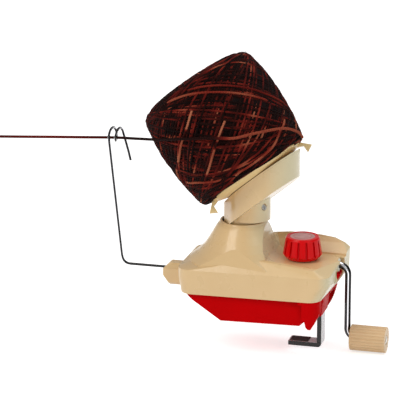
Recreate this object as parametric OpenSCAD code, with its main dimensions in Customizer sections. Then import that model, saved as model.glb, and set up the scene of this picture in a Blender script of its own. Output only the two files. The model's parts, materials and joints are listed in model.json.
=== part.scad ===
// Yarn ball winder, clamped to a table edge.
// Origin: on the flat underside of the lower tray, on the axis of the rotor.
// X runs towards the crank, Z runs up, the wire yarn guide is at the -X end.

/* [Housing] */
// height of the flat top edge of the lower tray
tray_h = 26.5; // [25:0.5:28]
// height of the crease around the upper housing
crease_z = 51.5; // [50.5:0.5:53]
// wall thickness of both housing shells
wall_t = 2.5; // [2:0.1:3]
// outer radius of the neck rim
neck_r = 23.1; // [22.8:0.1:24]

/* [Clamp] */
// widest radius of the clamp knob
knob_r = 19.7; // [18:0.1:21]
// height of the clamp knob
knob_h = 22; // [20:0.5:26]
// clear gap between the tray and the foot of the clamp
jaw_gap = 26.5; // [20:0.5:26]
// thickness of the flat clamp bar
bar_t = 4.5; // [3.5:0.1:5]

/* [Crank] */
// distance from the crank shaft to the grip axis
crank_arm = 75; // [65:1:85]
// length of the grip
grip_len = 36; // [34:1:50]
// radius of the grip
grip_r = 13; // [11:0.5:14]

/* [Rotor] */
// lean of the spool axis from the vertical, in degrees
spool_tilt = 39; // [38.6:0.1:39.4]
// radius of the spool flange
flange_r = 51.7; // [50:0.1:56]

/* [Guide] */
// height of the centre of the guide eye
eye_z = 171.5; // [165:0.5:176]
// thickness of the guide wire
wire_d = 2.6; // [2.2:0.1:2.7]

/* [Yarn] */
// thickness of the yarn
yarn_d = 2.3; // [1.8:0.1:2.4]

/* [Hidden] */
$fn = 72;
eps = 0.01;

// crank shaft, drive gear and rotor pinion
shaft_y = 9;
shaft_z = 52;
shaft_r = 3.25;
arm_x = 106;
m = 1.25;
t_crank = 12;
t_crown = 22;
t_spur = 38;
t_rotor = 11;
r_crank = m * t_crank / 2;
r_crown = m * t_crown / 2;
r_spur = m * t_spur / 2;
r_rotor = m * t_rotor / 2;
gear_y = shaft_y;
gear_x = sqrt(pow(r_spur + r_rotor, 2) - gear_y * gear_y);
crown_z = shaft_z - r_crank;
pinion_x = gear_x - r_crown;
slack = 0.3;

// spool axis and its bevel pair, which share the apex on the rotor axis
apex_z = 162.5;
lean_dir = -12.5;
t_fixed = 9;
t_spool = 26;
cone_fixed = atan(sin(spool_tilt) / (t_spool / t_fixed + cos(spool_tilt)));
cone_spool = spool_tilt - cone_fixed;
slant_in = 47.5;
slant_out = 52.5;
head_top = -28;
head_low = -50;

// clamp
knob_x = 61;
knob_z = 60;
floor_z = 58.5;
foot_z = -jaw_gap - bar_t;
bar_w = 16;

// corners of the housing plan at the crease and at the lip, and how far each is rounded
crease_plan = [[102.2, 42], [-58, 47], [-58, -47], [95.5, -42]];
crease_round = [9, 14, 14, 14];
lip_plan = [[91.5, 41.5], [-55, 46.5], [-55, -46.5], [87, -42]];
lip_round = [10, 13, 13, 13];
bend_r = 9;

module lean() {
    translate([0, 0, apex_z])
        rotate([0, 0, lean_dir])
            rotate([0, -spool_tilt, 0])
                children();
}

module lean_plan() {
    rotate([0, 0, lean_dir])
        children();
}

// points of an arc round c
function arc(c, r, from, to, n) = [for (i = [0 : n])
    let (w = from + (to - from) * i / n) [c[0] + r * cos(w), c[1] + r * sin(w)]];

// four sided plan with rounded corners, drawn in by d on every side
function turn(v) = atan2(-v[0], v[1]);
function rounded(q, radii, d) = [for (i = [0 : len(q) - 1])
    let (n = len(q), p = q[i], e1 = p - q[(i + n - 1) % n], e2 = q[(i + 1) % n] - p,
        w1 = turn(e1), w2 = turn(e2) < w1 ? turn(e2) + 360 : turn(e2),
        half = (180 - (w2 - w1)) / 2, mid = (w1 + w2) / 2,
        c = p - radii[i] / sin(half) * [cos(mid), sin(mid)])
        each arc(c, radii[i] - d, w1, w2, 14)];

module plan(d = 0) {
    polygon(rounded(crease_plan, crease_round, d));
}

module lip(d = 0) {
    polygon(rounded(lip_plan, lip_round, d));
}

// trapezium teeth of a spur gear
module spur_outline(n, r_p, add, ded, thin) {
    half = 90 / n - thin / r_p * 28.65;
    top = half - add * 0.40 / r_p * 57.3;
    low = half + ded * 0.36 / r_p * 57.3;
    ra = r_p + add;
    rd = r_p - ded;
    polygon([for (i = [0 : n - 1]) for (q = [[rd, -low], [r_p, -half], [ra, -top],
        [ra, top], [r_p, half], [rd, low]])
            [q[0] * cos(i * 360 / n + q[1]), q[0] * sin(i * 360 / n + q[1])]]);
}

// housing

module housing_outer(d = 0) {
    low = d > 0 ? tray_h - 1 : tray_h;
    hull() {
        translate([0, 0, low])
            linear_extrude(tray_h + 1 - low)
                lip(d);
        translate([0, 0, tray_h + 15.5])
            linear_extrude(crease_z - tray_h - 15.5)
                plan(d);
        for (p = [[-44, 20, 54], [-30, 26, 57], [22, 33, 63.5], [52, 33.5, 60.5], [79, 33.5, 57.5]])
            translate([p[0], -p[1] + d / 2, p[2] - d])
                cylinder(h = 1, r = 3, center = true, $fn = 16);
        for (p = [[-44, 20, 54], [-30, 26, 58], [14, 34, 71], [40, 37, 73], [70, 37, 72.3], [84, 37, 70.5],
            [94, 36, 66.5], [99 - d, 35, 63]])
            translate([p[0], p[1] - d / 2, p[2] - d])
                cylinder(h = 1, r = 3, center = true, $fn = 16);
    }
}

module neck_solid(d = 0) {
    rotate_extrude($fn = 96)
        polygon([[0, tray_h + 5], [54 - d, 52], [54 - d, 55.5], [45.5 - d, 62],
            [39 - d, 69], [34 - d, 76.5], [29.8 - d, 84], [26.2 - d, 90], [24 - d, 93],
            [neck_r - d * 0.72, 94.8 + (d > 0 ? 1 : 0)], [0, 94.8 + (d > 0 ? 1 : 0)]]);
}

// long roof that the neck melts into, its sides rise from the crease
module neck_roof(d = 0) {
    translate([-70, 0, 0])
        rotate([90, 0, 90])
            linear_extrude(140)
                polygon([[-43 + d, 30], [-43 + d, crease_z], [-40.5 + d, 60], [-37 + d, 71], [-33 + d, 82],
                    [-30 + d, 110], [30 - d, 110], [33 - d, 82], [37 - d, 71], [40.5 - d, 60],
                    [43 - d, crease_z], [43 - d, 30]]);
}

// trough for the clamp knob, from the foot of the neck to the crank end
module knob_channel(d = 0) {
    intersection() {
        translate([0, 60, 0])
            rotate([90, 0, 0])
                linear_extrude(120)
                    polygon([[24.2 - d, 110], [24.2 - d, 90], [24.8 - d, 80], [27 - d, 70], [31 - d, 63 - d],
                        [37.5, 59.5 - d], [44, floor_z - d], [95, floor_z - d], [110, floor_z - 2 - d],
                        [110, 110]]);
        rotate([90, 0, 90])
            linear_extrude(130)
                polygon([[-32.5 - d, 110], [-32.5 - d, 40], [20 + d, 40], [22 + 0.6 * d, 60 - d],
                    [33.5 + 0.6 * d, 67.5 - 0.9 * d], [36.3 + d, 72 - 0.4 * d], [37.5 + d, 110]]);
    }
}

module screw_places() {
    for (p = [[-20, 33], [-20, -33], [58, 31], [58, -31]])
        translate([p[0], p[1], 0])
            children();
}

module housing_shape(d = 0) {
    difference() {
        union() {
            housing_outer(d);
            intersection() {
                neck_solid(d);
                neck_roof(d);
                translate([0, 0, 40])
                    linear_extrude(70)
                        plan(d);
            }
        }
        knob_channel(d);
    }
}

// slot in the end wall under the crank shaft
module crank_slot(gap = 0) {
    translate([84, 3 + gap, 20])
        cube([30, 12 - 2 * gap, 26.3 - gap]);
}

// thumb scoop beside the crank shaft
module end_scoop(d = 0) {
    translate([109, -5, 44])
        sphere(r = 16 + d, $fn = 72);
}

module upper_housing() {
    color([0.86, 0.79, 0.62])
        difference() {
            housing_shape();
            // hollow inside, under the trough and up the neck
            difference() {
                housing_shape(wall_t);
                end_scoop(2.6);
                // boss round the crank shaft
                translate([91, shaft_y, shaft_z])
                    rotate([0, 90, 0])
                        cylinder(h = 12, r = 11);
                // web that carries the neck bush, with the rib for the crank shaft
                translate([0, 0, 72])
                    cylinder(h = 3, r = 36);
                translate([23, 3.5, shaft_z - 3.1])
                    cube([4, 11, 25]);
                // posts for the housing screws
                screw_places()
                    translate([0, 0, 20.3])
                        cylinder(h = 50, r = 4.5);
            }
            crank_slot();
            end_scoop();
            translate([96, shaft_y, shaft_z])
                rotate([0, 90, 0])
                    cylinder(h = 20, r = 8.5);
            translate([80, shaft_y, shaft_z])
                rotate([0, 90, 0])
                    cylinder(h = 10.85, r = 5.3);
            translate([80, shaft_y, shaft_z])
                rotate([0, 90, 0])
                    cylinder(h = 20, r = 4.75);
            translate([0, 0, 60])
                cylinder(h = 30, r = 10);
            translate([10, shaft_y, shaft_z])
                rotate([0, 90, 0])
                    cylinder(h = 20, r = shaft_r + 0.07);
            translate([knob_x, 0, 50])
                cylinder(h = 20, r = 4.1);
            screw_places()
                cylinder(h = 36, r = 1.75, $fn = 32);
            translate([-61, 0, 38])
                rotate([0, 90, 0])
                    cylinder(h = 9, r = 3, $fn = 32);
            translate([-61, 0, 30])
                rotate([0, 90, 0])
                    cylinder(h = 9, r = 2.25, $fn = 32);
        }
}

module lower_tray() {
    color([0.72, 0.02, 0.05])
        difference() {
            union() {
                difference() {
                    intersection() {
                        translate([0, 60, 0])
                            rotate([90, 0, 0])
                                linear_extrude(120)
                                    polygon([[-50, tray_h - 0.1], [-49.5, tray_h - 1], [-12.6, 0], [67, 0],
                                        [73.5, 6], [76, 12], [76.5, tray_h - 0.1]]);
                        linear_extrude(60)
                            polygon(rounded([[76.5, 36.5], [-51.5, 43.5], [-51.5, -43.5], [76.5, -36.5]],
                                [9, 12, 12, 9], 0));
                    }
                    intersection() {
                        translate([0, 60, 0])
                            rotate([90, 0, 0])
                                linear_extrude(120)
                                    polygon([[-45.5, tray_h + 1], [-11.6, 3], [66, 3], [71, 7.5], [73.5, 13],
                                        [74, tray_h + 1]]);
                        linear_extrude(60)
                            polygon(rounded([[76.5, 36.5], [-51.5, 43.5], [-51.5, -43.5], [76.5, -36.5]],
                                [9, 12, 12, 9], wall_t));
                    }
                }
                // deck at the crank end
                intersection() {
                    translate([66, -60, tray_h - 3.4])
                        cube([40, 120, 3.3]);
                    linear_extrude(60)
                        lip(1);
                    translate([66, -60, 0])
                        cube([40, 120, 60]);
                }
                // wings that follow the lip round both corners, and the plate between them
                intersection() {
                    translate([0, 60, 0])
                        rotate([90, 0, 0])
                            linear_extrude(120)
                                polygon([[92, tray_h - 0.1], [70, tray_h - 0.1], [70, 8], [73, 5.6], [74.3, 0.5],
                                    [76.5, -1.9], [79, -2.3], [82.3, 3.3], [85.1, 9.7], [88, 18.4],
                                    [90, tray_h - 0.1]]);
                    translate([0, 0, -5])
                        linear_extrude(60)
                            difference() {
                                lip(1);
                                lip(4);
                                translate([60, -25])
                                    square([60, 57]);
                            }
                }
                translate([0, 5, 0])
                    rotate([90, 0, 0])
                        linear_extrude(29)
                            polygon([[88.2, tray_h - 0.5], [86.2, 7.5], [83.9, 7.5], [85.7, tray_h - 0.5]]);
                // tongue that closes the slot under the crank shaft
                difference() {
                    intersection() {
                        crank_slot(0.3);
                        translate([0, 60, 0])
                            rotate([90, 0, 0])
                                linear_extrude(120)
                                    polygon([[84, tray_h - 3.4], [88.9, tray_h - 3.4], [90, tray_h - 0.1],
                                        [98.4, 42], [98.4, 70], [95.4, 70], [95.4, 42], [87, tray_h - 0.1]]);
                    }
                    end_scoop(0.3);
                    translate([95.6, shaft_y, shaft_z])
                        rotate([0, 90, 0])
                            cylinder(h = 20, r = 8.9);
                }
                // screw bosses
                intersection() {
                    screw_places()
                        cylinder(h = 20, r = 5.5);
                    translate([0, 60, 0])
                        rotate([90, 0, 0])
                            linear_extrude(120)
                                polygon([[-50, tray_h - 0.1], [-49.5, tray_h - 1], [-12.6, 0], [67, 0], [73.5, 6],
                                    [76, 12], [76.5, tray_h - 0.1]]);
                }
                // seats for the centre post, the gear axle and the clamp screw
                cylinder(h = 20, r = 7);
                translate([gear_x, gear_y, 1])
                    cylinder(h = 22, r = 6);
                translate([knob_x, 0, 1])
                    cylinder(h = 4, r = 7);
            }
            // slot for the clamp bar
            translate([73, -bar_w / 2 - 1, 4])
                cube([11.5, bar_w + 2, 40]);
            translate([56, -bar_w / 2 - 1, tray_h - 5])
                cube([28.5, bar_w + 2, 20]);
            translate([0, 0, 3])
                cylinder(h = 30, r = 4);
            translate([gear_x, gear_y, 4])
                cylinder(h = 30, r = 3);
            translate([knob_x, 0, 3])
                cylinder(h = 10, r = 4.08);
            screw_places() {
                translate([0, 0, -1])
                    cylinder(h = 40, r = 1.9, $fn = 32);
                translate([0, 0, -1])
                    cylinder(h = 10, r = 3.4, $fn = 32);
            }
        }
}

module housing_screws() {
    color([0.6, 0.6, 0.62])
        screw_places()
            difference() {
                union() {
                    translate([0, 0, 7])
                        cylinder(h = 2, r = 3.1, $fn = 32);
                    translate([0, 0, 8])
                        cylinder(h = 26, r = 1.75, $fn = 32);
                }
                translate([-2, -0.4, 6.5])
                    cube([4, 0.8, 1.3]);
                translate([-0.4, -2, 6.5])
                    cube([0.8, 4, 1.3]);
            }
}

module neck_bush() {
    color([0.92, 0.92, 0.88])
        difference() {
            union() {
                translate([0, 0, 70])
                    cylinder(h = 8, r = 9.98);
                translate([0, 0, 75.05])
                    cylinder(h = 3, r = 12);
            }
            translate([0, 0, 60])
                cylinder(h = 30, r = 8.07);
        }
}

module centre_post() {
    color([0.62, 0.62, 0.64])
        union() {
            translate([0, 0, 3])
                cylinder(h = 25, r = 3.99);
            translate([0, 0, 20.2])
                cylinder(h = 8, r = 6.5);
            translate([0, 0, 20])
                cylinder(h = 93.45, r = 3);
            translate([0, 0, 113.4])
                cylinder(h = 3.2, r = 2, $fn = 48);
        }
}

// one tooth of a bevel gear, from slant a to slant b on a cone of half angle k
module bevel_tooth(a, b, k, root, tip, wide, narrow) {
    polyhedron(
        points = [for (s = [a, b]) for (q = [[-root, -wide], [-root, wide], [tip, narrow], [tip, -narrow]])
            let (kk = k + q[0], r = s * sin(kk), z = -s * cos(kk))
                [r * cos(q[1]), r * sin(q[1]), z]],
        faces = [[0, 1, 2], [0, 2, 3], [7, 6, 5], [7, 5, 4], [0, 4, 5], [0, 5, 1],
            [1, 5, 6], [1, 6, 2], [2, 6, 7], [2, 7, 3], [3, 7, 4], [3, 4, 0]]);
}

// cone body under the teeth
module bevel_body(a, b, k, drop, r_in) {
    rotate_extrude()
        polygon([[r_in, -a * cos(k - drop)], [a * sin(k - drop), -a * cos(k - drop)],
            [b * sin(k - drop), -b * cos(k - drop)], [r_in, -b * cos(k - drop)]]);
}

module fixed_bevel() {
    color([0.93, 0.93, 0.9])
        translate([0, 0, apex_z])
            rotate([0, 0, lean_dir + 180 / t_fixed])
                difference() {
                    union() {
                        bevel_body(slant_in, slant_out, cone_fixed, 1.25, 2);
                        for (i = [0 : t_fixed - 1])
                            rotate([0, 0, i * 360 / t_fixed])
                                bevel_tooth(slant_in, slant_out, cone_fixed, 1.5, 1.05, 9.4, 4.2);
                    }
                    translate([0, 0, -60])
                        cylinder(h = 11, r = 3.01);
                    translate([0, 0, -60])
                        cylinder(h = 40, r = 2.0, $fn = 48);
                }
}

module spool_gear() {
    color([0.93, 0.93, 0.9])
        lean()
            difference() {
                union() {
                    bevel_body(slant_in, slant_out, cone_spool, 1.25, 2.5);
                    for (i = [0 : t_spool - 1])
                        rotate([0, 0, i * 360 / t_spool])
                            bevel_tooth(slant_in, slant_out, cone_spool, 1.5, 1.05, 3.5, 1.7);
                    translate([0, 0, -42])
                        cylinder(h = 16, r = 7.5);
                }
                translate([0, 0, -60])
                    cylinder(h = 50, r = 2.57, $fn = 48);
            }
}

module drive_gear_axle() {
    color([0.62, 0.62, 0.64])
        translate([gear_x, gear_y, 0])
            union() {
                translate([0, 0, 4])
                    cylinder(h = 44, r = 3);
                translate([0, 0, 23.1])
                    cylinder(h = 7.4, r = 5);
            }
}

module axle_clip() {
    color([0.35, 0.35, 0.37])
        translate([gear_x, gear_y, 46.8])
            difference() {
                cylinder(h = 0.8, r = 5);
                translate([0, 0, -1])
                    cylinder(h = 3, r = 3);
                translate([-6, -1.2, -1])
                    cube([5, 2.4, 3]);
            }
}

module drive_gear() {
    color([0.93, 0.93, 0.9])
        translate([gear_x, gear_y, 0])
            difference() {
                union() {
                    // spur teeth
                    translate([0, 0, 34])
                        linear_extrude(6)
                            rotate([0, 0, atan2(gear_y, gear_x) + 180])
                                spur_outline(t_spur, r_spur, 1.0, 1.35, slack);
                    // crown ring with its teeth
                    translate([0, 0, 39])
                        cylinder(h = crown_z - 1.4 - 39, r = r_crown + 2.6);
                    intersection() {
                        for (i = [0 : t_crown - 1])
                            rotate([0, 0, 180 + (i + 0.5) * 360 / t_crown])
                                translate([r_crown - 2.6, 0, crown_z])
                                    rotate([90, 0, 90])
                                        linear_extrude(5.4)
                                            polygon([[-1.05, -1.6], [1.05, -1.6], [0.52, 0],
                                                [0.26, 0.86], [-0.26, 0.86], [-0.52, 0]]);
                        cylinder(h = 60, r = r_crown + 2.6);
                    }
                    translate([0, 0, 31])
                        cylinder(h = 14.5, r = 6.5);
                }
                translate([0, 0, 20])
                    cylinder(h = 40, r = 3.07);
            }
}

module rotor_shaft() {
    color([0.93, 0.93, 0.9])
        difference() {
            union() {
                translate([0, 0, 28.4])
                    cylinder(h = 18, r = 5.2);
                translate([0, 0, 33])
                    linear_extrude(8)
                        rotate([0, 0, atan2(gear_y, gear_x) + 180 / t_rotor])
                            spur_outline(t_rotor, r_rotor, 0.95, 1.35, slack);
                translate([0, 0, 45])
                    cylinder(h = 61, r = 8);
            }
            translate([0, 0, 20])
                cylinder(h = 90, r = 3.07);
        }
}

module crank_rod() {
    b = bend_r;
    color([0.5, 0.5, 0.53])
        translate([0, shaft_y, 0])
            union() {
                translate([11, 0, shaft_z])
                    rotate([0, 90, 0])
                        cylinder(h = arm_x - b - 11, r = shaft_r);
                translate([arm_x - b, 0, shaft_z - b])
                    rotate([90, 0, 0])
                        rotate_extrude(angle = 90)
                            translate([b, 0])
                                circle(shaft_r);
                translate([arm_x, 0, shaft_z - crank_arm + b])
                    cylinder(h = crank_arm - 2 * b, r = shaft_r);
                translate([arm_x + b, 0, shaft_z - crank_arm + b])
                    rotate([90, 0, 0])
                        rotate([0, 0, 180])
                            rotate_extrude(angle = 90)
                                translate([b, 0])
                                    circle(shaft_r);
                translate([arm_x + b, 0, shaft_z - crank_arm])
                    rotate([0, 90, 0])
                        cylinder(h = grip_len - 8, r = shaft_r);
            }
}

module crank_pinion() {
    color([0.93, 0.93, 0.9])
        translate([pinion_x - 2.5, shaft_y, shaft_z])
            rotate([0, 90, 0])
                difference() {
                    union() {
                        rotate([0, 0, 0])
                            linear_extrude(5)
                                spur_outline(t_crank, r_crank, 0.95, 1.35, slack);
                        translate([0, 0, -1.2])
                            cylinder(h = 7.5, r = 5.5);
                    }
                    translate([0, 0, -5])
                        cylinder(h = 30, r = shaft_r);
                }
}

module crank_collar() {
    color([0.6, 0.6, 0.62])
        translate([85.5, shaft_y, shaft_z])
            rotate([0, 90, 0])
                difference() {
                    cylinder(h = 5, r = 4.9);
                    translate([0, 0, -1])
                        cylinder(h = 10, r = shaft_r);
                }
}

module crank_bush() {
    color([0.92, 0.92, 0.88])
        translate([90.9, shaft_y, shaft_z])
            rotate([0, 90, 0])
                difference() {
                    union() {
                        cylinder(h = 5.5, r = 4.7);
                        translate([0, 0, 5.15])
                            cylinder(h = 0.85, r = 6.4);
                    }
                    translate([0, 0, -5])
                        cylinder(h = 30, r = shaft_r + 0.07);
                }
}

grip_x = arm_x + shaft_r + 0.9;

module crank_grip() {
    color([0.88, 0.82, 0.68])
        translate([grip_x, shaft_y, shaft_z - crank_arm])
            rotate([0, 90, 0])
                difference() {
                    // fine ribs along the grip
                    linear_extrude(grip_len)
                        polygon([for (i = [0 : 23]) for (q = [[0, 0.65], [3.5, 0.65], [6, 0], [12.5, 0]])
                            (grip_r - q[1]) * [cos(i * 15 + q[0]), sin(i * 15 + q[0])]]);
                    // seat over the bend of the rod
                    translate([0, 0, -1])
                        cylinder(h = 9.5, r = shaft_r + 5.6);
                    translate([0, 0, -1])
                        cylinder(h = 80, r = shaft_r + 0.08);
                    translate([0, 0, grip_len - 3])
                        cylinder(h = 10, r = 5.2);
                }
}

module grip_rivet() {
    color([0.7, 0.7, 0.72])
        translate([0, shaft_y, shaft_z - crank_arm])
            rotate([0, 90, 0])
                union() {
                    translate([0, 0, arm_x + bend_r + grip_len - 8])
                        cylinder(h = grip_x + grip_len + 0.3 - (arm_x + 1 + grip_len), r = 2.4, $fn = 48);
                    translate([0, 0, grip_x + grip_len - 2.6])
                        cylinder(h = 2.0, r = 4.8);
                }
}

// rotor head

module head_plan(d = 0) {
    c = 22.7;
    k = acos(16 / c);
    polygon(concat(arc([c, 0], 35.5 - d, k - 180, 180 - k, 72), arc([0, 0], 19.5 - d, 180 - k, 180 + k, 24)));
}

module half_above(v) {
    lean()
        translate([-150, -150, v])
            cube([300, 300, 300]);
}

module half_below(v) {
    lean()
        translate([-150, -150, v - 300])
            cube([300, 300, 300]);
}

module rotor_head() {
    color([0.86, 0.79, 0.62])
        difference() {
            union() {
                difference() {
                    lean_plan()
                        translate([0, 0, 84])
                            linear_extrude(110)
                                head_plan();
                    half_above(head_top - 1.8);
                    half_below(head_low);
                }
                // neck block down into the neck
                difference() {
                    union() {
                        translate([0, 0, 84])
                            cylinder(h = 45, r = 19.2);
                        lean_plan()
                            translate([8, 0, 97.3])
                                cylinder(h = 32, r = 20);
                    }
                    half_above(head_low + 1);
                }
            }
            // waist above the neck rim
            translate([0, 0, 80])
                difference() {
                    cylinder(h = 15.7, r = 60);
                    translate([0, 0, -1])
                        cylinder(h = 20, r = 19.9);
                }
            // gear room
            difference() {
                lean_plan()
                    translate([0, 0, 84])
                        linear_extrude(110)
                            head_plan(2.5);
                half_below(head_low + 2.5);
                lean()
                    translate([0, 0, -60])
                        cylinder(h = 60 - slant_out * cos(cone_spool - 1.25) - 0.5, r = 6.5);
            }
            translate([0, 0, 80])
                cylinder(h = 30, r = 8);
            lean()
                translate([0, 0, -48])
                    cylinder(h = 30, r = 2.5, $fn = 48);
            neck_screw_place()
                translate([0, 0, -20])
                    cylinder(h = 30, r = 1.5, $fn = 32);
            neck_screw_place()
                translate([0, 0, -1.6])
                    cylinder(h = 12, r = 3.4, $fn = 32);
        }
}

module neck_screw_place() {
    rotate([0, 0, -27.3])
        translate([27.4, 0, 112.5])
            rotate([0, 66, 0])
                children();
}

module rotor_head_cover() {
    color([0.86, 0.79, 0.62])
        difference() {
            lean_plan()
                translate([0, 0, 90])
                    linear_extrude(110)
                        head_plan();
            half_above(head_top);
            half_below(head_top - 1.75);
            lean()
                translate([0, 0, -60])
                    cylinder(h = 60, r = 8.2);
        }
}

module rotor_screw() {
    color([0.6, 0.6, 0.62])
        neck_screw_place()
            difference() {
                union() {
                    translate([0, 0, -18])
                        cylinder(h = 17, r = 1.5, $fn = 32);
                    translate([0, 0, -1.6])
                        cylinder(h = 1.8, r = 3, $fn = 32);
                }
                translate([-2.2, -0.4, -0.6])
                    cube([4.4, 0.8, 2]);
            }
}

module spool_shaft() {
    color([0.62, 0.62, 0.64])
        lean()
            translate([0, 0, -48])
                cylinder(h = 120, r = 2.5, $fn = 48);
}

module spool_retainer() {
    color([0.35, 0.35, 0.37])
        lean()
            translate([0, 0, 69.2])
                difference() {
                    cylinder(h = 1.6, r = 5);
                    translate([0, 0, -1])
                        cylinder(h = 4, r = 2.5, $fn = 48);
                }
}

// pointed ear at the rim
module ear() {
    rotate([90, 0, 0])
        translate([0, 0, -6])
            linear_extrude(12)
                polygon([[flange_r - 4, -24], [flange_r + 0.9, -22.5], [flange_r + 9.3, -30.5],
                    [flange_r + 2.1, -34.5], [flange_r + 1.9, -27], [flange_r - 4, -24.9]]);
}

module spool_flange() {
    color([0.9, 0.85, 0.7])
        lean()
            difference() {
                union() {
                    rotate_extrude($fn = 96)
                        polygon([[0, -27.3], [38, -27.3], [flange_r - 4.7, -25], [flange_r - 1.1, -23],
                            [flange_r, -22], [flange_r, -21.3], [flange_r - 0.5, -21],
                            [flange_r - 2.2, -21.6], [45, -22.8], [38, -23], [0, -23]]);
                    for (s = [31.8, 211.8])
                        rotate([0, 0, s])
                            ear();
                }
                translate([0, 0, -60])
                    cylinder(h = 60, r = 7.5);
            }
}

module spool_cone() {
    color([0.93, 0.92, 0.88])
        lean()
            difference() {
                rotate_extrude($fn = 96)
                    polygon([[0, -23], [32, -23], [32, -20.5], [28.5, -19], [20, 67], [18.6, 69],
                        [0, 69]]);
                rotate_extrude($fn = 96)
                    polygon([[0, -21], [26.5, -21], [26.3, -19], [18.2, 66], [0, 66]]);
                translate([0, 0, 60])
                    cylinder(h = 20, r = 2.57, $fn = 48);
                translate([0, 0, -30])
                    cylinder(h = 12, r = 2.57, $fn = 48);
                for (s = [0, 90])
                    rotate([0, 0, s])
                        translate([-30, -1.5, 48])
                            cube([60, 3, 14]);
            }
}

// clamp

module knob_washer() {
    color([0.7, 0.7, 0.72])
        translate([knob_x, 0, floor_z])
            difference() {
                cylinder(h = knob_z - floor_z - 0.05, r = 9);
                translate([0, 0, -1])
                    cylinder(h = 5, r = 4.1);
            }
}

module clamp_knob() {
    k = knob_h / 22;
    color([0.72, 0.02, 0.05])
        translate([knob_x, 0, knob_z])
            difference() {
                rotate_extrude($fn = 96)
                    polygon([[0, 0], [knob_r - 3.4, 0], [knob_r - 2.6, 0.8], [knob_r, 4.3 * k],
                        [knob_r - 0.3, 5.2 * k], [knob_r - 2.7, 20.4 * k], [knob_r - 3.6, 22 * k],
                        [0, 22 * k]]);
                for (i = [0 : 13])
                    rotate([0, 0, (i + 0.5) * 360 / 14])
                        translate([knob_r - 0.6, 0, 2.6 * k])
                            rotate([0, -10.5, 0])
                                cylinder(h = 17 * k, r = 1.5, $fn = 24);
                translate([0, 0, -1])
                    cylinder(h = 15, r = 4);
                translate([0, 0, 22 * k - 1.2])
                    cylinder(h = 3, r = 12.6);
            }
}

module knob_cap() {
    color([0.8, 0.78, 0.78])
        translate([knob_x, 0, knob_z + knob_h - 1.2])
            difference() {
                cylinder(h = 1, r = 12.5);
                translate([0, 0, 0.6])
                    difference() {
                        cylinder(h = 2, r = 9.6);
                        translate([0, 0, -1])
                            cylinder(h = 4, r = 8.6);
                    }
            }
}

module clamp_screw() {
    color([0.62, 0.62, 0.64])
        translate([knob_x, 0, 3.4])
            cylinder(h = knob_z + 14 - 3.4, r = 4);
}

module clamp_bar() {
    w = bar_w;
    color([0.78, 0.78, 0.8])
        difference() {
            union() {
                translate([knob_x, 0, 26])
                    cylinder(h = bar_t, r = w / 2);
                translate([knob_x, -w / 2, 26])
                    cube([17.5, w, bar_t]);
                translate([83 - bar_t, -w / 2, foot_z + 4])
                    cube([bar_t, w, 26 + bar_t - foot_z - 8]);
                translate([49, -w / 2, foot_z])
                    cube([30, w, bar_t]);
                // rounded outer corners
                for (s = [0, 1])
                    translate([79, 0, s == 0 ? foot_z + 4 : 22 + bar_t])
                        rotate([90, 0, 0])
                            cylinder(h = w, r = 4, center = true, $fn = 48);
                translate([77, -w / 2, foot_z])
                    cube([2, w, bar_t]);
                translate([77, -w / 2, 26])
                    cube([2, w, bar_t]);
            }
            translate([knob_x, 0, 20])
                cylinder(h = 20, r = 4.08);
            translate([70, -10, foot_z + bar_t])
                cube([13 - bar_t, 20, 26 - foot_z - bar_t]);
        }
}

module clamp_nut() {
    color([0.62, 0.62, 0.64])
        translate([knob_x, 0, 20])
            difference() {
                cylinder(h = 6, r = 7, $fn = 6);
                translate([0, 0, -1])
                    cylinder(h = 10, r = 4.08);
            }
}

module clamp_pad() {
    color([0.75, 0.72, 0.66])
        translate([50.5, -6.5, foot_z + bar_t])
            cube([18.5, 13, 0.8]);
}

// guide

module guide_socket() {
    color([0.86, 0.79, 0.62])
        difference() {
            intersection() {
                translate([0, 14, 0])
                    rotate([90, 0, 0])
                        linear_extrude(28)
                            polygon([[-56, 23], [-74, 23], [-81, 32.5], [-81, 39.5], [-75.5, 44.5],
                                [-58.2, 44.5], [-58.2, 42.2], [-56.6, 29]]);
                translate([-90, 0, 0])
                    rotate([90, 0, 90])
                        linear_extrude(40)
                            polygon([[-9, 23], [9, 23], [11, 25], [11, 39.5], [5, 44.5], [-5, 44.5],
                                [-11, 39.5], [-11, 25]]);
            }
            translate([-90, 0, 38])
                rotate([0, 90, 0])
                    cylinder(h = 40, r = wire_d / 2 + 0.06, $fn = 32);
            translate([-68, 0, 30])
                rotate([0, 90, 0])
                    cylinder(h = 15, r = 2.2, $fn = 32);
        }
}

module guide_screw() {
    color([0.6, 0.6, 0.62])
        union() {
            translate([-67.9, 0, 30])
                rotate([0, 90, 0])
                    cylinder(h = 16.9, r = 2.2, $fn = 32);
            translate([-51.4, 0, 30])
                rotate([0, 90, 0])
                    cylinder(h = 1.8, r = 3.8, $fn = 32);
        }
}

// a round tube along a list of points
function unit(v) = v / norm(v);
function tangents(p) = [for (i = [0 : len(p) - 1])
    unit(p[min(i + 1, len(p) - 1)] - p[max(i - 1, 0)])];
function side_dir(t, up) = unit(cross(t, up));
function tube_rings(p, r, sides, ups) = let (t = tangents(p)) [for (i = [0 : len(p) - 1])
    let (a = side_dir(t[i], ups[i]), b = cross(a, t[i]))
        for (j = [0 : sides - 1])
            p[i] + r * (cos(j * 360 / sides) * a + sin(j * 360 / sides) * b)];
module tube(p, r, sides, ups) {
    n = len(p);
    q = tube_rings(p, r, sides, ups);
    f = concat(
        [for (i = [0 : n - 2]) for (j = [0 : sides - 1]) for (h = [0, 1])
            let (a = i * sides + j, b = i * sides + (j + 1) % sides)
                h == 0 ? [a, b, b + sides] : [a, b + sides, a + sides]],
        [for (j = [1 : sides - 2]) [0, j + 1, j]],
        [for (j = [1 : sides - 2]) let (e = (n - 1) * sides) [e, e + j, e + j + 1]]);
    polyhedron(points = q, faces = f, convexity = 10);
}

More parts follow.
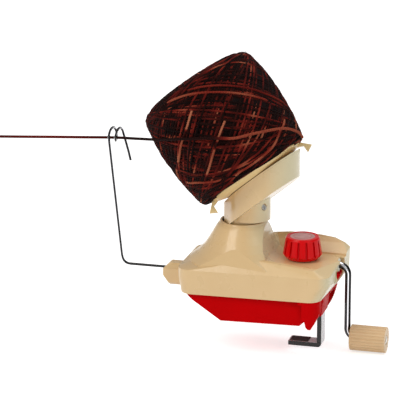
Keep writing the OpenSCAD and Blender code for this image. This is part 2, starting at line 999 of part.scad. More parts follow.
// smooth curve through the points, n steps between each two
function smooth(p, n) = [for (i = [0 : len(p) - 2]) for (k = [0 : n - 1])
    let (u = k / n, a = p[max(i - 1, 0)], b = p[i], c = p[i + 1], d = p[min(i + 2, len(p) - 1)])
        0.5 * (2 * b + u * (c - a) + u * u * (2 * a - 5 * b + 4 * c - d)
            + u * u * u * (3 * b - a - 3 * c + d))];

eye_y = 7;
eye_r = 6.6;
guide_path = concat(
    [[-118, 0, 38], [-121, 0, 38.2], [-123.6, 0, 39.2], [-125.6, 0, 41], [-126.7, 0, 43.5], [-127.6, 0, 47]],
    [for (k = [1 : 7]) [-127.9 - 12.1 * k / 7, 0, 50 + (eye_z - 56) * k / 7]],
    [for (k = [0 : 30]) let (w = k * 18)
        [-140.2 + k * 0.36, eye_y - (eye_r + 0.4) * cos(w), eye_z + eye_r * sin(w)]],
    [[-127, 14.5, eye_z - 9], [-124, 14, eye_z - 19], [-121.5, 13, eye_z - 28]]);

module guide_wire() {
    color([0.55, 0.53, 0.52])
        union() {
            translate([-119, 0, 38])
                rotate([0, 90, 0])
                    cylinder(h = 57, r = wire_d / 2, $fn = 32);
            tube(guide_path, wire_d / 2, 8, [for (p = guide_path) [1, 0.3, 0.2]]);
        }
}

// yarn

ball_r = [[-19, 57], [-14, 60], [-5, 63], [10, 65.5], [30, 67], [47, 67], [60, 65.8], [70, 63.5],
    [78, 61], [82, 58.5], [86, 54]];
function ball_at(v) = lookup(v, ball_r);
loops = 24;
rings = 24;
wind_low = -12.5;
wind_high = 80;
function wind_point(t) = let (
    u = t / loops,
    v = wind_low + (wind_high - wind_low) * u + 7 * sin(180 * u) * sin(360 * t + 40),
    r = ball_at(v) - yarn_d / 2)
        [r * cos(360 * t), r * sin(360 * t), v];
wind_path = let (p = [for (i = [0 : loops * rings]) wind_point(i / rings)],
    a = unit(p[0] - p[1]), b = unit(p[loops * rings] - p[loops * rings - 1]))
        concat([p[0] + a * yarn_d], p, [p[loops * rings] + b * yarn_d]);
wind_gap = min([for (i = [0 : len(wind_path) - rings + 4]) for (k = [rings - 4 : rings + 4])
    if (i + k < len(wind_path)) norm(wind_path[i] - wind_path[i + k])]) - yarn_d;
echo(least_gap_of_winding = wind_gap);

module yarn_core() {
    color([0.16, 0.05, 0.05])
        lean()
            difference() {
                rotate_extrude($fn = 120)
                    polygon(concat([[0, -19]], [for (q = ball_r) [q[1] - 3.1, q[0]]], [[40, 88], [0, 88]]));
                rotate_extrude($fn = 96)
                    polygon([[0, -20], [32.6, -20], [28.9, -18.6], [20.3, 67.5], [14, 75], [8, 90],
                        [0, 90]]);
            }
}

module yarn_winding() {
    color([0.35, 0.08, 0.07])
        lean()
            tube(wind_path, yarn_d / 2, 6, [for (p = wind_path) [0, 0, 1]]);
}

// from outside, through the eye, then round the front of the ball
strand_far = [[-268, 0, 161.5], [-235, 1.5, 163.1], [-202, 3, 164.8], [-169, 4.5, 166.4]];
strand_near = [[-136, 6, 168], [-106, -17.5, 175], [-76, -41, 182], [-64, -50.5, 185.5],
    [-51, -58, 189], [-38, -62, 191], [-22.5, -64.3, 193.5], [-7.5, -63.5, 194], [6.5, -60.5, 194.5],
    [20, -54.2, 197.5], [30.5, -46.6, 199], [40.8, -35.4, 199.5], [48.4, -24.6, 198], [53.4, -15.2, 194.5],
    [56.6, -7.4, 190.5], [58.2, -1.5, 186.5], [58.6, 4, 182.5]];
strand_path = concat([for (i = [0 : 3]) for (k = [0 : 3])
    let (c = i < 3 ? strand_far[i + 1] : strand_near[0]) strand_far[i] + (c - strand_far[i]) * k / 4],
    smooth(strand_near, 3), [strand_near[len(strand_near) - 1]]);

module yarn_strand() {
    color([0.45, 0.18, 0.12])
        union() {
            tube(strand_path, yarn_d / 2, 8, [for (p = strand_path) [0, 0, 1]]);
            // knot at the far end
            translate(strand_far[0])
                sphere(r = 1.15 * yarn_d, $fn = 16);
        }
}

/* [Output] */

upper_housing();
lower_tray();
housing_screws();
neck_bush();
centre_post();
fixed_bevel();
drive_gear_axle();
axle_clip();
crank_bush();
knob_washer();
guide_socket();
guide_screw();
guide_wire();
crank_rod();
crank_pinion();
crank_collar();
crank_grip();
grip_rivet();
drive_gear();
rotor_shaft();
rotor_head();
rotor_head_cover();
rotor_screw();
spool_shaft();
spool_retainer();
spool_gear();
spool_flange();
spool_cone();
clamp_knob();
knob_cap();
clamp_screw();
clamp_bar();
clamp_nut();
clamp_pad();
yarn_core();
yarn_winding();
yarn_strand();
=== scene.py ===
import bpy
import json
import math
import numpy as np
from mathutils import Vector, Matrix


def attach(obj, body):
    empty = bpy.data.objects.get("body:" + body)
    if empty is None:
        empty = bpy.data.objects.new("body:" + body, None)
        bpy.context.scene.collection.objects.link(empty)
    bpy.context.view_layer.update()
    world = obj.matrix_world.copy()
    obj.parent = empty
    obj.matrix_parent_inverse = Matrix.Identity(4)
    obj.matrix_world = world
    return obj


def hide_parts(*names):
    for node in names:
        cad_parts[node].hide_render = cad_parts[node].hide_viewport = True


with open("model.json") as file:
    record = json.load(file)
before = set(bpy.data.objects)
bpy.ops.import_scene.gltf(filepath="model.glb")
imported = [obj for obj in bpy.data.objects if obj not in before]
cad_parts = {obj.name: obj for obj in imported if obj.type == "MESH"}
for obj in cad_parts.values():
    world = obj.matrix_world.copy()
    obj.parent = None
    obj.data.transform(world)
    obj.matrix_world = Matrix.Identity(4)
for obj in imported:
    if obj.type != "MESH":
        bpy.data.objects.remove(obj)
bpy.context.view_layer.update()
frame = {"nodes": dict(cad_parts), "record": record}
nodes = frame["nodes"]
rng = np.random.default_rng(11)
MM = 0.001


# camera
AZ, EL, FOCAL = math.radians(15.3), math.radians(16.5), 2600.0
back = Vector((math.sin(AZ) * math.cos(EL), -math.cos(AZ) * math.cos(EL), math.sin(EL)))
right = Vector((math.cos(AZ), math.sin(AZ), 0.0))
up = back.cross(right)
aim = Vector((0, 0, 0.1)) + right * -0.0355 + up * 0.006
cam_data = bpy.data.cameras.new("photo_camera")
cam_data.sensor_width = 36.0
cam_data.lens = 36.0 * FOCAL / 416.0
cam_data.clip_end = 20.0
cam = bpy.data.objects.new("photo_camera", cam_data)
bpy.context.scene.collection.objects.link(cam)
m = Matrix((right, up, back)).transposed().to_4x4()
m.translation = aim + back * (FOCAL * MM)
cam.matrix_world = m
bpy.context.scene.camera = cam


# materials
def new_mat(name):
    mat = bpy.data.materials.new(name)
    mat.use_nodes = True
    t = mat.node_tree
    return mat, t, t.nodes["Principled BSDF"]


def link(t, a, b):
    t.links.new(a, b)


def coords(t, scale, kind="Object"):
    tc = t.nodes.new("ShaderNodeTexCoord")
    mp = t.nodes.new("ShaderNodeMapping")
    mp.inputs["Scale"].default_value = scale if hasattr(scale, "__len__") else (scale,) * 3
    link(t, tc.outputs[kind], mp.inputs["Vector"])
    return mp.outputs["Vector"]


def noise(t, vec, scale, detail=3.0, rough=0.55):
    n = t.nodes.new("ShaderNodeTexNoise")
    n.inputs["Scale"].default_value = scale
    n.inputs["Detail"].default_value = detail
    n.inputs["Roughness"].default_value = rough
    link(t, vec, n.inputs["Vector"])
    return n.outputs["Fac"]


def ramp(t, fac, stops):
    r = t.nodes.new("ShaderNodeValToRGB")
    els = r.color_ramp.elements
    while len(els) < len(stops):
        els.new(0.5)
    for e, (pos, col) in zip(els, stops):
        e.position = pos
        e.color = (*col, 1) if len(col) == 3 else col
    link(t, fac, r.inputs["Fac"])
    return r.outputs["Color"]


def bump(t, bsdf, height, strength, distance):
    b = t.nodes.new("ShaderNodeBump")
    b.inputs["Strength"].default_value = strength
    b.inputs["Distance"].default_value = distance
    link(t, height, b.inputs["Height"])
    link(t, b.outputs["Normal"], bsdf.inputs["Normal"])


def lin(c):
    return tuple(x / 12.92 if x <= 0.04045 else ((x + 0.055) / 1.055) ** 2.4 for x in c)


def plastic(name, srgb, dark, rough=0.28, coat=0.25, grain=0.00003, metal=0.0, spec=0.5, tint_scale=18.0,
            end=None):
    """Moulded plastic, clouded between two shades. end is painted light: a cooler, greyer colour mixed in on
    faces that look towards the crank, standing in for the cool light that falls on that side.
    """
    mat, t, b = new_mat(name)
    v = coords(t, 1.0)
    f = noise(t, v, tint_scale, 4.0)
    c = ramp(t, f, [(0.3, lin(dark)), (0.7, lin(srgb))])
    # painted light: faces turned towards the crank (+X) are mixed towards the end colour, in place of cool
    # light from that side
    if end:
        tc = t.nodes.new("ShaderNodeTexCoord")
        sep = t.nodes.new("ShaderNodeSeparateXYZ")
        link(t, tc.outputs["Normal"], sep.inputs[0])
        mix = t.nodes.new("ShaderNodeMix")
        mix.data_type = "RGBA"
        link(t, ramp(t, sep.outputs["X"], [(0.25, (0, 0, 0)), (0.85, (1, 1, 1))]), mix.inputs["Factor"])
        link(t, c, mix.inputs["A"])
        mix.inputs["B"].default_value = (*lin(end), 1)
        c = mix.outputs["Result"]
    link(t, c, b.inputs["Base Color"])
    r = ramp(t, noise(t, v, 60.0, 3.0), [(0.3, (rough * 0.8,) * 3), (0.7, (rough * 1.25,) * 3)])
    link(t, r, b.inputs["Roughness"])
    b.inputs["Metallic"].default_value = metal
    b.inputs["Coat Weight"].default_value = coat
    b.inputs["Coat Roughness"].default_value = 0.08
    b.inputs["Specular IOR Level"].default_value = spec
    bump(t, b, noise(t, v, 900.0, 2.0), 0.25, grain)
    return mat


def metal(name, srgb, dark, rough, scratch=0.00002, axis=(1, 1, 1)):
    mat, t, b = new_mat(name)
    v = coords(t, axis)
    f = noise(t, v, 140.0, 3.0)
    link(t, ramp(t, f, [(0.3, lin(dark)), (0.7, lin(srgb))]), b.inputs["Base Color"])
    link(t, ramp(t, noise(t, v, 320.0), [(0.3, (rough * 0.7,) * 3), (0.7, (rough * 1.4,) * 3)]),
         b.inputs["Roughness"])
    b.inputs["Metallic"].default_value = 1.0
    bump(t, b, noise(t, v, 700.0), 0.2, scratch)
    return mat


# half of the direction that runs left to right across the photo
# the chrome's painted reflection bands are laid out along this direction
ACROSS = (0.46, 0.127, 0.0)


def chrome(name, level, rough, painted_reflection_bands, metallic=1.0):
    """Polished metal with painted reflections: light and dark bands in the base colour, set by which way each
    face turns along ACROSS, stand in for the bright and dark streaks a polished metal reflects.
    """
    mat, t, b = new_mat(name)
    tc = t.nodes.new("ShaderNodeTexCoord")
    dot = t.nodes.new("ShaderNodeVectorMath")
    dot.operation = "DOT_PRODUCT"
    dot.inputs[1].default_value = ACROSS
    link(t, tc.outputs["Normal"], dot.inputs[0])
    half = t.nodes.new("ShaderNodeMath")
    half.operation = "ADD"
    half.inputs[1].default_value = 0.5
    link(t, dot.outputs["Value"], half.inputs[0])
    waver = t.nodes.new("ShaderNodeMath")
    waver.operation = "MULTIPLY_ADD"
    waver.inputs[1].default_value = 0.03
    link(t, noise(t, coords(t, 1.0), 30.0), waver.inputs[0])
    link(t, half.outputs[0], waver.inputs[2])
    # painted reflections: light and dark bands laid into the base colour by facing
    link(t, ramp(t, waver.outputs[0], [(p, lin((v * level, v * level, v * level * 1.02))) for p, v in painted_reflection_bands]),
         b.inputs["Base Color"])
    link(t, ramp(t, noise(t, coords(t, 1.0), 320.0), [(0.3, (rough * 0.7,) * 3), (0.7, (rough * 1.4,) * 3)]),
         b.inputs["Roughness"])
    b.inputs["Metallic"].default_value = metallic
    return mat


M = {}
# the last colour is painted light: the cream's crank end is tinted cooler and greyer for the cool light on
# that side
M["cream"] = plastic("cream_plastic", (0.905, 0.78, 0.585), (0.885, 0.755, 0.555),
                     0.3, 0.3, spec=0.4, end=(0.87, 0.82, 0.67))
M["red"] = plastic("red_plastic", (0.80, 0.0, 0.02), (0.76, 0.0, 0.015), 0.45, 0.0, spec=0.03)
M["knob"] = plastic("knob_plastic", (0.90, 0.0, 0.035), (0.86, 0.0, 0.025), 0.22, 0.12, spec=0.12)
M["grip"] = plastic("grip_plastic", (0.90, 0.775, 0.61), (0.87, 0.74, 0.57), 0.38, 0.05, spec=0.3)
M["flange"] = plastic("flange_plastic", (0.94, 0.83, 0.61), (0.91, 0.795, 0.57), 0.36, 0.08, spec=0.3)
M["cone"] = plastic("cone_plastic", (0.90, 0.88, 0.82), (0.85, 0.83, 0.76), 0.45, 0.0)
M["gear"] = plastic("gear_nylon", (0.90, 0.90, 0.85), (0.84, 0.84, 0.78), 0.5, 0.0)
M["pad"] = plastic("pad_rubber", (0.30, 0.29, 0.28), (0.22, 0.21, 0.20), 0.8, 0.0, 0.0001)
M["core"] = plastic("core_yarn", (0.10, 0.04, 0.04), (0.05, 0.025, 0.025),
                    0.9, 0.0, 0.0006, spec=0.1, tint_scale=200.0)
# rod, bar and wire: base colours with painted reflections, light and dark bands by which way the surface
# faces
M["rod"] = chrome("rod_chrome", 1.0, 0.14, [
    (0.0, 0.35), (0.12, 0.30), (0.30, 0.22), (0.41, 0.30), (0.46, 0.97),
    (0.56, 0.97), (0.62, 0.12), (0.88, 0.08), (0.95, 0.5), (1.0, 0.6)])
M["bar"] = chrome("bar_chrome", 1.0, 0.3, [
    (0.0, 0.5), (0.28, 0.14), (0.42, 0.14), (0.46, 0.93), (0.7, 0.9), (1.0, 0.84)], 0.25)
M["wire"] = chrome("wire_steel", 0.95, 0.2, [
    (0.0, 0.8), (0.17, 0.8), (0.28, 0.2), (0.70, 0.16), (0.80, 0.3), (0.9, 0.75), (1.0, 0.8)])
M["steel"] = metal("pin_steel", (0.93, 0.92, 0.90), (0.80, 0.79, 0.77), 0.3)
M["clip"] = metal("clip_steel", (0.42, 0.42, 0.44), (0.30, 0.30, 0.32), 0.35)
M["cap"] = plastic("cap_chrome", (0.93, 0.68, 0.66), (0.80, 0.52, 0.51),
                   0.22, 0.3, metal=0.35, tint_scale=120.0)

slots = {s["node"]: s["material_slot"] for s in frame["record"]["subparts"]}


def shade(obj, mat, angle=35):
    obj.data.materials.clear()
    obj.data.materials.append(mat)
    obj.data.polygons.foreach_set("use_smooth", [True] * len(obj.data.polygons))
    obj.data.set_sharp_from_angle(angle=math.radians(angle))


for name, obj in nodes.items():
    if slots[name] in M:
        shade(obj, M[slots[name]], 50 if name == "upper_housing" else 35)
nodes["clamp_knob"].data.materials[0] = M["knob"]


# yarn
TILT, LEAN = math.radians(39.0), math.radians(12.5)
AXIS = np.array((-math.sin(TILT) * math.cos(LEAN), math.sin(TILT) * math.sin(LEAN), math.cos(TILT)))
SIDE_X = np.array((math.cos(TILT) * math.cos(LEAN), -math.cos(TILT) * math.sin(LEAN), math.sin(TILT)))
SIDE_Y = np.cross(AXIS, SIDE_X)
APEX = np.array((0, 0, 162.5))
# height along the spool and radius of the full ball
PROFILE = np.array([[-23, 50], [-22.6, 54], [-22, 57], [-19.5, 60.5], [-12, 62.5], [-3, 64],
                    [10, 66], [30, 67.2], [47, 67.2], [60, 66.2], [70, 64.5], [78, 63],
                    [82, 61], [85, 56.5], [87, 50]], float)
BALL_MID = np.array((0, 0, 33.5))
BALL_LOW, BALL_TOP = -22.4, 85.0
YARN_D = 2.3
LEAD_D = 2.8


# the ball is wound a little off the axis
SHIFT = -2.4


def to_world(p):
    """From the spool's own frame, which starts at the apex of the lean, to the world, in millimetres."""
    p = np.asarray(p, float) + np.array((SHIFT, 0, 0))
    return APEX + to_world_way(p)


def to_world_way(v):
    """The same turn as to_world, for directions."""
    return v[..., 0:1] * SIDE_X + v[..., 1:2] * SIDE_Y + v[..., 2:3] * AXIS


def run_length(p):
    """Length along a run of points, from 0 at its start."""
    return np.concatenate([[0], np.cumsum(np.linalg.norm(np.diff(p, axis=0), axis=1))])


def tube_mesh(name, runs, radius, sides, closed=False, shades=None):
    """One mesh of round tubes. runs: list of (points, outward normals), in millimetres."""
    verts, faces, uv, sh = [], [], [], []
    base = 0
    for ri, (p, o) in enumerate(runs):
        n = len(p)
        if closed:
            t = np.roll(p, -1, 0) - np.roll(p, 1, 0)
        else:
            t = np.gradient(p, axis=0)
        t /= np.linalg.norm(t, axis=1)[:, None]
        a = o - (o * t).sum(1)[:, None] * t
        a /= np.linalg.norm(a, axis=1)[:, None]
        b = np.cross(t, a)
        length = run_length(p)
        w = np.arange(sides) * 2 * math.pi / sides
        r = radius if np.isscalar(radius) else radius[ri]
        around = np.cos(w)[None, :, None] * a[:, None, :] + np.sin(w)[None, :, None] * b[:, None, :]
        ring = p[:, None, :] + r * around
        verts.append(ring.reshape(-1, 3))
        m_ = n if closed else n - 1
        i = np.arange(m_)[:, None]
        j = np.arange(sides)[None, :]
        i2 = (i + 1) % n
        j2 = (j + 1) % sides
        f = base + np.stack([i * sides + j, i2 * sides + j, i2 * sides + j2, i * sides + j2], -1)
        faces.append(f.reshape(-1, 4))
        total = length[-1] + (np.linalg.norm(p[0] - p[-1]) if closed else 0)
        l2 = np.where(i + 1 < n, length[(i + 1) % n], total)
        u = np.stack([np.broadcast_to(length[i], (m_, sides)), np.broadcast_to(l2, (m_, sides)),
                      np.broadcast_to(l2, (m_, sides)), np.broadcast_to(length[i], (m_, sides))], -1)
        v = np.stack([np.broadcast_to(j, (m_, sides)), np.broadcast_to(j, (m_, sides)),
                      np.broadcast_to(j + 1, (m_, sides)), np.broadcast_to(j + 1, (m_, sides))], -1) / sides
        uv.append(np.stack([u, v], -1).reshape(-1, 2))
        if shades is not None:
            sh.append(np.repeat(shades[ri], sides, axis=0))
        base += n * sides
    verts = np.concatenate(verts) * MM
    faces = np.concatenate(faces)
    me = bpy.data.meshes.new(name)
    me.vertices.add(len(verts))
    me.vertices.foreach_set("co", verts.ravel())
    me.loops.add(faces.size)
    me.loops.foreach_set("vertex_index", faces.ravel().astype(np.int32))
    me.polygons.add(len(faces))
    me.polygons.foreach_set("loop_start", np.arange(0, faces.size, 4, dtype=np.int32))
    me.polygons.foreach_set("loop_total", np.full(len(faces), 4, np.int32))
    layer = me.uv_layers.new(name="yarn")
    layer.data.foreach_set("uv", np.concatenate(uv).ravel().astype(np.float32))
    if shades is not None:
        att = me.attributes.new("tone", "FLOAT", "POINT")
        att.data.foreach_set("value", np.concatenate(sh).astype(np.float32))
    me.update(calc_edges=True)
    me.validate()
    me.polygons.foreach_set("use_smooth", [True] * len(me.polygons))
    ob = bpy.data.objects.new(name, me)
    bpy.context.scene.collection.objects.link(ob)
    return ob


def yarn_mat(name):
    mat, t, b = new_mat(name)
    att = t.nodes.new("ShaderNodeAttribute")
    att.attribute_name = "tone"
    uvv = coords(t, (1.0, 1.0, 1.0), "UV")
    fine = noise(t, coords(t, 1.0), 900.0, 3.0)
    mix = t.nodes.new("ShaderNodeMath")
    mix.operation = "MULTIPLY_ADD"
    mix.inputs[1].default_value = 0.16
    link(t, fine, mix.inputs[0])
    link(t, att.outputs["Fac"], mix.inputs[2])
    sub = t.nodes.new("ShaderNodeMath")
    sub.operation = "SUBTRACT"
    sub.inputs[1].default_value = 0.08
    link(t, mix.outputs[0], sub.inputs[0])
    col = ramp(t, sub.outputs[0], [
        (0.0, lin((0.045, 0.02, 0.02))), (0.36, lin((0.13, 0.045, 0.035))), (0.48, lin((0.27, 0.07, 0.052))),
        (0.60, lin((0.38, 0.09, 0.07))), (0.72, lin((0.50, 0.17, 0.12))), (0.86, lin((0.64, 0.36, 0.26))),
        (1.0, lin((0.80, 0.52, 0.39)))])
    link(t, col, b.inputs["Base Color"])
    b.inputs["Roughness"].default_value = 0.85
    b.inputs["Specular IOR Level"].default_value = 0.06
    b.inputs["Sheen Weight"].default_value = 0.02
    b.inputs["Sheen Roughness"].default_value = 0.45
    sep = t.nodes.new("ShaderNodeSeparateXYZ")
    link(t, uvv, sep.inputs[0])
    # two plies: stripes that run round the strand
    a = t.nodes.new("ShaderNodeMath")
    a.operation = "MULTIPLY_ADD"
    a.inputs[1].default_value = 1.0 / 2.6
    link(t, sep.outputs["X"], a.inputs[0])
    link(t, sep.outputs["Y"], a.inputs[2])
    w = t.nodes.new("ShaderNodeMath")
    w.operation = "PINGPONG"
    w.inputs[1].default_value = 0.5
    link(t, a.outputs[0], w.inputs[0])
    add = t.nodes.new("ShaderNodeMath")
    add.operation = "MULTIPLY_ADD"
    add.inputs[1].default_value = 0.35
    link(t, fine, add.inputs[0])
    link(t, w.outputs[0], add.inputs[2])
    bump(t, b, add.outputs[0], 0.9, 0.0009)
    return mat


M["yarn"] = yarn_mat("variegated_yarn")


def radius_at(v):
    return np.interp(v, PROFILE[:, 0], PROFILE[:, 1])


def surface_loop(psi, tilt, offset, depth, k=112, phase=0.0):
    """A loop of yarn: where a leaning plane cuts the ball."""
    nrm = np.array((math.sin(tilt) * math.cos(psi), math.sin(tilt) * math.sin(psi), math.cos(tilt)))
    e1 = np.cross(nrm, (0, 0, 1.0))
    e1 /= np.linalg.norm(e1)
    e2 = np.cross(nrm, e1)
    th = np.linspace(0, 2 * math.pi, k, endpoint=False) + phase
    d = np.cos(th)[:, None] * e1 + np.sin(th)[:, None] * e2
    c = BALL_MID + nrm * offset
    lo = np.zeros(k)
    hi = np.full(k, 95.0)
    for _ in range(26):
        s = (lo + hi) / 2
        q = c + s[:, None] * d
        inside = np.hypot(q[:, 0], q[:, 1]) < radius_at(q[:, 2]) - YARN_D / 2 - depth
        inside &= (q[:, 2] > BALL_LOW + depth) & (q[:, 2] < BALL_TOP - depth)
        lo = np.where(inside, s, lo)
        hi = np.where(inside, hi, s)
    s = lo
    for _ in range(3):
        s = (np.roll(s, 1) + 2 * s + np.roll(s, -1)) / 4
    q = c + s[:, None] * d
    out = q - BALL_MID
    return q, out / np.linalg.norm(out, axis=1)[:, None]


def tone_along(length, seed_shift):
    """Colour runs of the dyed yarn, 0 near black to 1 tan."""
    x = length / 95.0 + seed_shift
    v = np.sin(x) + np.sin(x * 2.17 + 1.3) + 0.8 * np.sin(x * 5.61 + 0.4) + 0.8 * np.sin(x * 17.3 + 2.0)
    v /= 3.3
    return np.clip(0.36 + 0.50 * np.clip(v, -0.6, 1.0), 0, 1)


runs, tones = [], []
LOOPS = 320
LOOP_STEP = 124.6
FIBRES = 3200
END_TURNS = 170
GOLDEN = 2.399963
total = 0.0
for i in range(LOOPS):
    psi = math.radians(180 + LOOP_STEP * i + rng.normal(0, 4.0))
    tilt = TILT + math.radians(rng.normal(0, 2.0))
    depth = 3.4 * (1 - i / LOOPS) + rng.uniform(0, 0.25)
    q, out = surface_loop(psi, tilt, rng.normal(0, 3.5), depth, phase=rng.uniform(0, 6.28))
    w = to_world(q)
    ow = to_world_way(out)
    length = run_length(w)
    tones.append(tone_along(total + length, 0.0))
    total += length[-1]
    runs.append((w, ow))
ball = tube_mesh("wound_yarn", runs, YARN_D / 2, 7, True, tones)
ball.data.materials.append(M["yarn"])
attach(ball, "ball")
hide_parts("yarn_winding")


# light runs of the dyed yarn on the visible side, as points of the spool frame
LIGHT = [
    (0.77, [(64.7, -1.1, 3.8), (63.2, -9.5, -1.3), (60.3, -18.7, -5.3), (55.5, -26.7, -10.7),
            (49.9, -33.8, -14.6), (43.4, -40.9, -16.2), (36.8, -46.6, -17.0), (27.7, -52.4, -17.4),
            (18.3, -56.5, -16.8), (11.1, -57.6, -17.9)]),
    (0.86, [(17.8, -63.4, 60.5), (3.8, -66.9, 49.1), (-14.8, -65.6, 37.9), (-28.6, -60.8, 28.6),
            (-45.6, -48.4, 20.1), (-51.4, -41.3, 12.0)]),
    (0.84, [(38.4, -55.2, 33.6), (26.0, -61.6, 24.3), (12.8, -64.9, 14.7), (-3.5, -64.6, 3.6),
            (-22.7, -58.6, -6.4)]),
    (0.74, [(-7.2, -58.9, 81.0), (19.0, -59.5, 74.0), (38.4, -52.8, 63.5), (52.9, -40.9, 51.2),
            (62.4, -25.1, 37.6), (66.2, -9.6, 25.2)]),
    (0.62, [(19.0, -57.3, 79.3), (45.4, -46.1, 65.5), (62.5, -24.7, 46.8), (67.1, -4.4, 30.4),
            (62.4, 21.7, 13.5)]),
    (0.76, [(-45.1, -47.3, 7.5), (-28.6, -57.3, -0.2), (-13.7, -60.9, -7.7), (-1.2, -60.8, -13.1)]),
]

# the free strand from its far end, and the stretch from the eye on round the ball
FAR = np.array([[-268, 0, 161.5], [-235, 1.5, 163.1], [-202, 3, 164.8], [-169, 4.5, 166.4]], float)
NEAR = np.array([[-136, 6, 168], [-106, -17.5, 175], [-76, -41, 182], [-64, -50.5, 185.5],
                 [-51, -58, 189], [-38, -62, 191], [-22.5, -64.3, 193.5], [-7.5, -63.5, 194],
                 [6.5, -60.5, 194.5], [20, -54.2, 197.5], [30.5, -46.6, 199], [40.8, -35.4, 199.5],
                 [48.4, -24.6, 198],
                 [53.4, -15.2, 194.5], [56.6, -7.4, 190.5], [58.2, -1.5, 186.5], [58.6, 4, 182.5]], float)


def smooth(p, n):
    """A smooth curve through the points, n steps from each to the next."""
    out = []
    for i in range(len(p) - 1):
        a, b, c, d = p[max(i - 1, 0)], p[i], p[i + 1], p[min(i + 2, len(p) - 1)]
        for k in range(n):
            u = k / n
            out.append(0.5 * (2 * b + u * (c - a) + u * u * (2 * a - 5 * b + 4 * c - d)
                              + u ** 3 * (3 * b - a - 3 * c + d)))
    out.append(p[-1])
    return np.array(out)


def strand_tones(p, lo_t, hi_t, shift):
    """Slow colour runs of a strand between two tones."""
    return np.clip(lo_t + (hi_t - lo_t) * (0.5 + 0.5 * np.sin(run_length(p) / 40.0 + shift)), 0, 1)


light_runs, light_tones = [], []
for tone, pts in LIGHT:
    q = smooth(np.array(pts, float), 7)
    out = q - BALL_MID
    out /= np.linalg.norm(out, axis=1)[:, None]
    q[:, 0] -= SHIFT
    rad = radius_at(q[:, 2]) - YARN_D / 2 + 0.45
    flat = np.hypot(q[:, 0], q[:, 1])
    q[:, 0] *= rad / flat
    q[:, 1] *= rad / flat
    ends = np.minimum(np.arange(len(q)), np.arange(len(q))[::-1])
    q -= out * (2.6 * np.clip(1 - ends / 4.0, 0, 1) ** 2)[:, None]
    light_runs.append((to_world(q), to_world_way(out)))
    k = np.arange(len(q))
    # the lightest runs pass under others, so they are broken
    gaps = 0.42 * (np.sin(k * 0.47 + tone * 40) > 0.78) if tone > 0.8 else 0
    light_tones.append(tone + 0.05 * np.sin(k / 3.0) - gaps)

free = np.concatenate([FAR, NEAR[:3]])
free = smooth(free, 8)
lead = tube_mesh("yarn_lead", [(free, np.tile((0, 0, 1.0), (len(free), 1)))], LEAD_D / 2, 8, False,
                 [strand_tones(free, 0.3, 0.62, 0.0)])
lead.data.materials.append(M["yarn"])
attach(lead, "base")
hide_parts("yarn_strand")
bpy.ops.mesh.primitive_uv_sphere_add(segments=24, ring_count=12, radius=1.15 * YARN_D * MM,
                                     location=(FAR[0] * MM).tolist())
knot = bpy.context.object
knot.name = "lead_knot"
knot.data.materials.append(M["core"])
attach(knot, "base")

wrap = smooth(NEAR[2:], 6)
wo = wrap - APEX
wo = wo - (wo @ AXIS)[:, None] * AXIS
wrap_tones = np.interp(np.linspace(0, 1, len(wrap)), [0, 0.1, 0.33, 0.40, 1], [0.34, 0.26, 0.36, 0.76, 0.80])
wrap_radii = [LEAD_D / 2] + [YARN_D / 2] * len(light_runs)
wrap_ob = tube_mesh("yarn_wrap", [(wrap, wo)] + light_runs, wrap_radii, 8, False, [wrap_tones] + light_tones)
wrap_ob.data.materials.append(M["yarn"])

# stray fibres that stand off the ball
fuzz_runs, fuzz_tones = [], []
for i in range(FIBRES):
    ri = int(rng.integers(len(runs) // 2, len(runs)))
    w, ow = runs[ri]
    j = int(rng.integers(0, len(w)))
    along = w[(j + 1) % len(w)] - w[j]
    along /= np.linalg.norm(along)
    side = np.cross(along, ow[j])
    way = along * rng.uniform(-1, 1) + side * rng.uniform(-1, 1) + ow[j] * rng.uniform(0.1, 0.7)
    way /= np.linalg.norm(way)
    curl = np.cross(way, ow[j]) * rng.uniform(-0.8, 0.8)
    u = np.linspace(0, 1, 5)[:, None]
    size = rng.uniform(1.2, 3.4)
    pts = w[j] + ow[j] * YARN_D * 0.45 + way * u * size + curl * u ** 2 * size * 0.7
    fuzz_runs.append((pts, np.tile(ow[j], (5, 1)) + 0.01))
    fuzz_tones.append(np.full(5, tones[ri][j] + 0.12))
fuzz = tube_mesh("yarn_fuzz", fuzz_runs, 0.07, 3, False, fuzz_tones)
fuzz.data.materials.append(M["yarn"])
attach(fuzz, "ball")
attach(wrap_ob, "ball")

# turns that cross the open end of the ball and miss its hole
end_rng = np.random.default_rng(5)
end_runs, end_tones = [], []
for i in range(END_TURNS):
    turn = GOLDEN * i
    miss = end_rng.uniform(10.0, 26.0)
    x = np.linspace(-1, 1, 23) * math.sqrt(54.5 ** 2 - miss ** 2)
    z = np.interp(np.hypot(x, miss), [40, 50, 56.5], [87.9, 86.8, 84.6]) - end_rng.uniform(0, 0.5)
    z -= 1.6 * np.clip((np.abs(x) / np.abs(x).max() - 0.85) / 0.15, 0, 1) ** 2
    ca, sa = math.cos(turn), math.sin(turn)
    q = np.stack([x * ca - miss * sa, x * sa + miss * ca, z], -1)
    end_runs.append((to_world(q), np.tile(AXIS, (len(q), 1))))
    end_tones.append(tone_along(x + 130.0 * i, 0.0))
end_ob = tube_mesh("wound_yarn_end", end_runs, YARN_D / 2, 7, False, end_tones)
end_ob.data.materials.append(M["yarn"])
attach(end_ob, "ball")


# studio
def area(name, loc, target, size, energy, color=(1, 1, 1)):
    d = bpy.data.lights.new(name, "AREA")
    d.shape = "RECTANGLE"
    d.size, d.size_y = size
    d.energy = energy
    d.color = color
    o = bpy.data.objects.new(name, d)
    bpy.context.scene.collection.objects.link(o)
    o.location = loc
    o.rotation_euler = (Vector(target) - Vector(loc)).to_track_quat("-Z", "Y").to_euler()
    return o


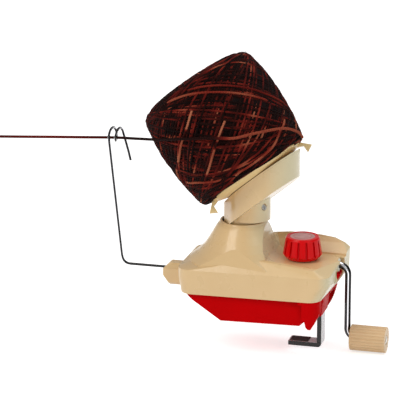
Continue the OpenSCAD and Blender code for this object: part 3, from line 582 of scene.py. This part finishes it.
area("key", (-0.9, -1.3, 1.6), (0, 0, 0.12), (1.0, 1.0), 17, (1.0, 0.95, 0.88))
area("fill", (1.4, -1.0, 0.7), (0, 0, 0.1), (1.0, 1.2), 5, (0.95, 1.0, 0.97))
area("top", (0.1, 0.5, 1.9), (0, 0, 0.1), (1.4, 1.0), 8)

FLOOR_Z, FLOOR_HALF = -0.0375, 6
PAPER_GLOW, WORLD_LIGHT = 0.62, 0.42
floor_mesh = bpy.data.meshes.new("studio_floor")
corners = [(x * FLOOR_HALF, y * FLOOR_HALF, FLOOR_Z) for x, y in ((-1, -1), (1, -1), (1, 1), (-1, 1))]
floor_mesh.from_pydata(corners, [], [(0, 1, 2, 3)])
floor = bpy.data.objects.new("studio_floor", floor_mesh)
bpy.context.scene.collection.objects.link(floor)
fm, ft, fb = new_mat("floor_paper")
link(ft, ramp(ft, noise(ft, coords(ft, 1.0), 3.0), [(0.3, (0.90, 0.90, 0.90)), (0.7, (0.93, 0.93, 0.93))]),
     fb.inputs["Base Color"])
# the paper reads as white to the camera and in reflections, and still takes the shadow
fb.inputs["Roughness"].default_value = 0.9
fb.inputs["Emission Color"].default_value = (1, 1, 1, 1)
path = ft.nodes.new("ShaderNodeLightPath")
seen = ft.nodes.new("ShaderNodeMath")
seen.operation = "ADD"
seen.use_clamp = True
link(ft, path.outputs["Is Camera Ray"], seen.inputs[0])
link(ft, path.outputs["Is Glossy Ray"], seen.inputs[1])
seen_all = ft.nodes.new("ShaderNodeMath")
seen_all.operation = "ADD"
seen_all.use_clamp = True
link(ft, seen.outputs[0], seen_all.inputs[0])
link(ft, path.outputs["Is Transmission Ray"], seen_all.inputs[1])
glow = ft.nodes.new("ShaderNodeMath")
glow.operation = "MULTIPLY"
glow.inputs[1].default_value = PAPER_GLOW
link(ft, seen_all.outputs[0], glow.inputs[0])
link(ft, glow.outputs[0], fb.inputs["Emission Strength"])
floor_mesh.materials.append(fm)

world = bpy.data.worlds.new("studio")
bpy.context.scene.world = world
world.use_nodes = True
bg = world.node_tree.nodes["Background"]
bg.inputs["Color"].default_value = (1, 1, 1, 1)
bg.inputs["Strength"].default_value = WORLD_LIGHT
bpy.context.scene.view_settings.view_transform = "Standard"
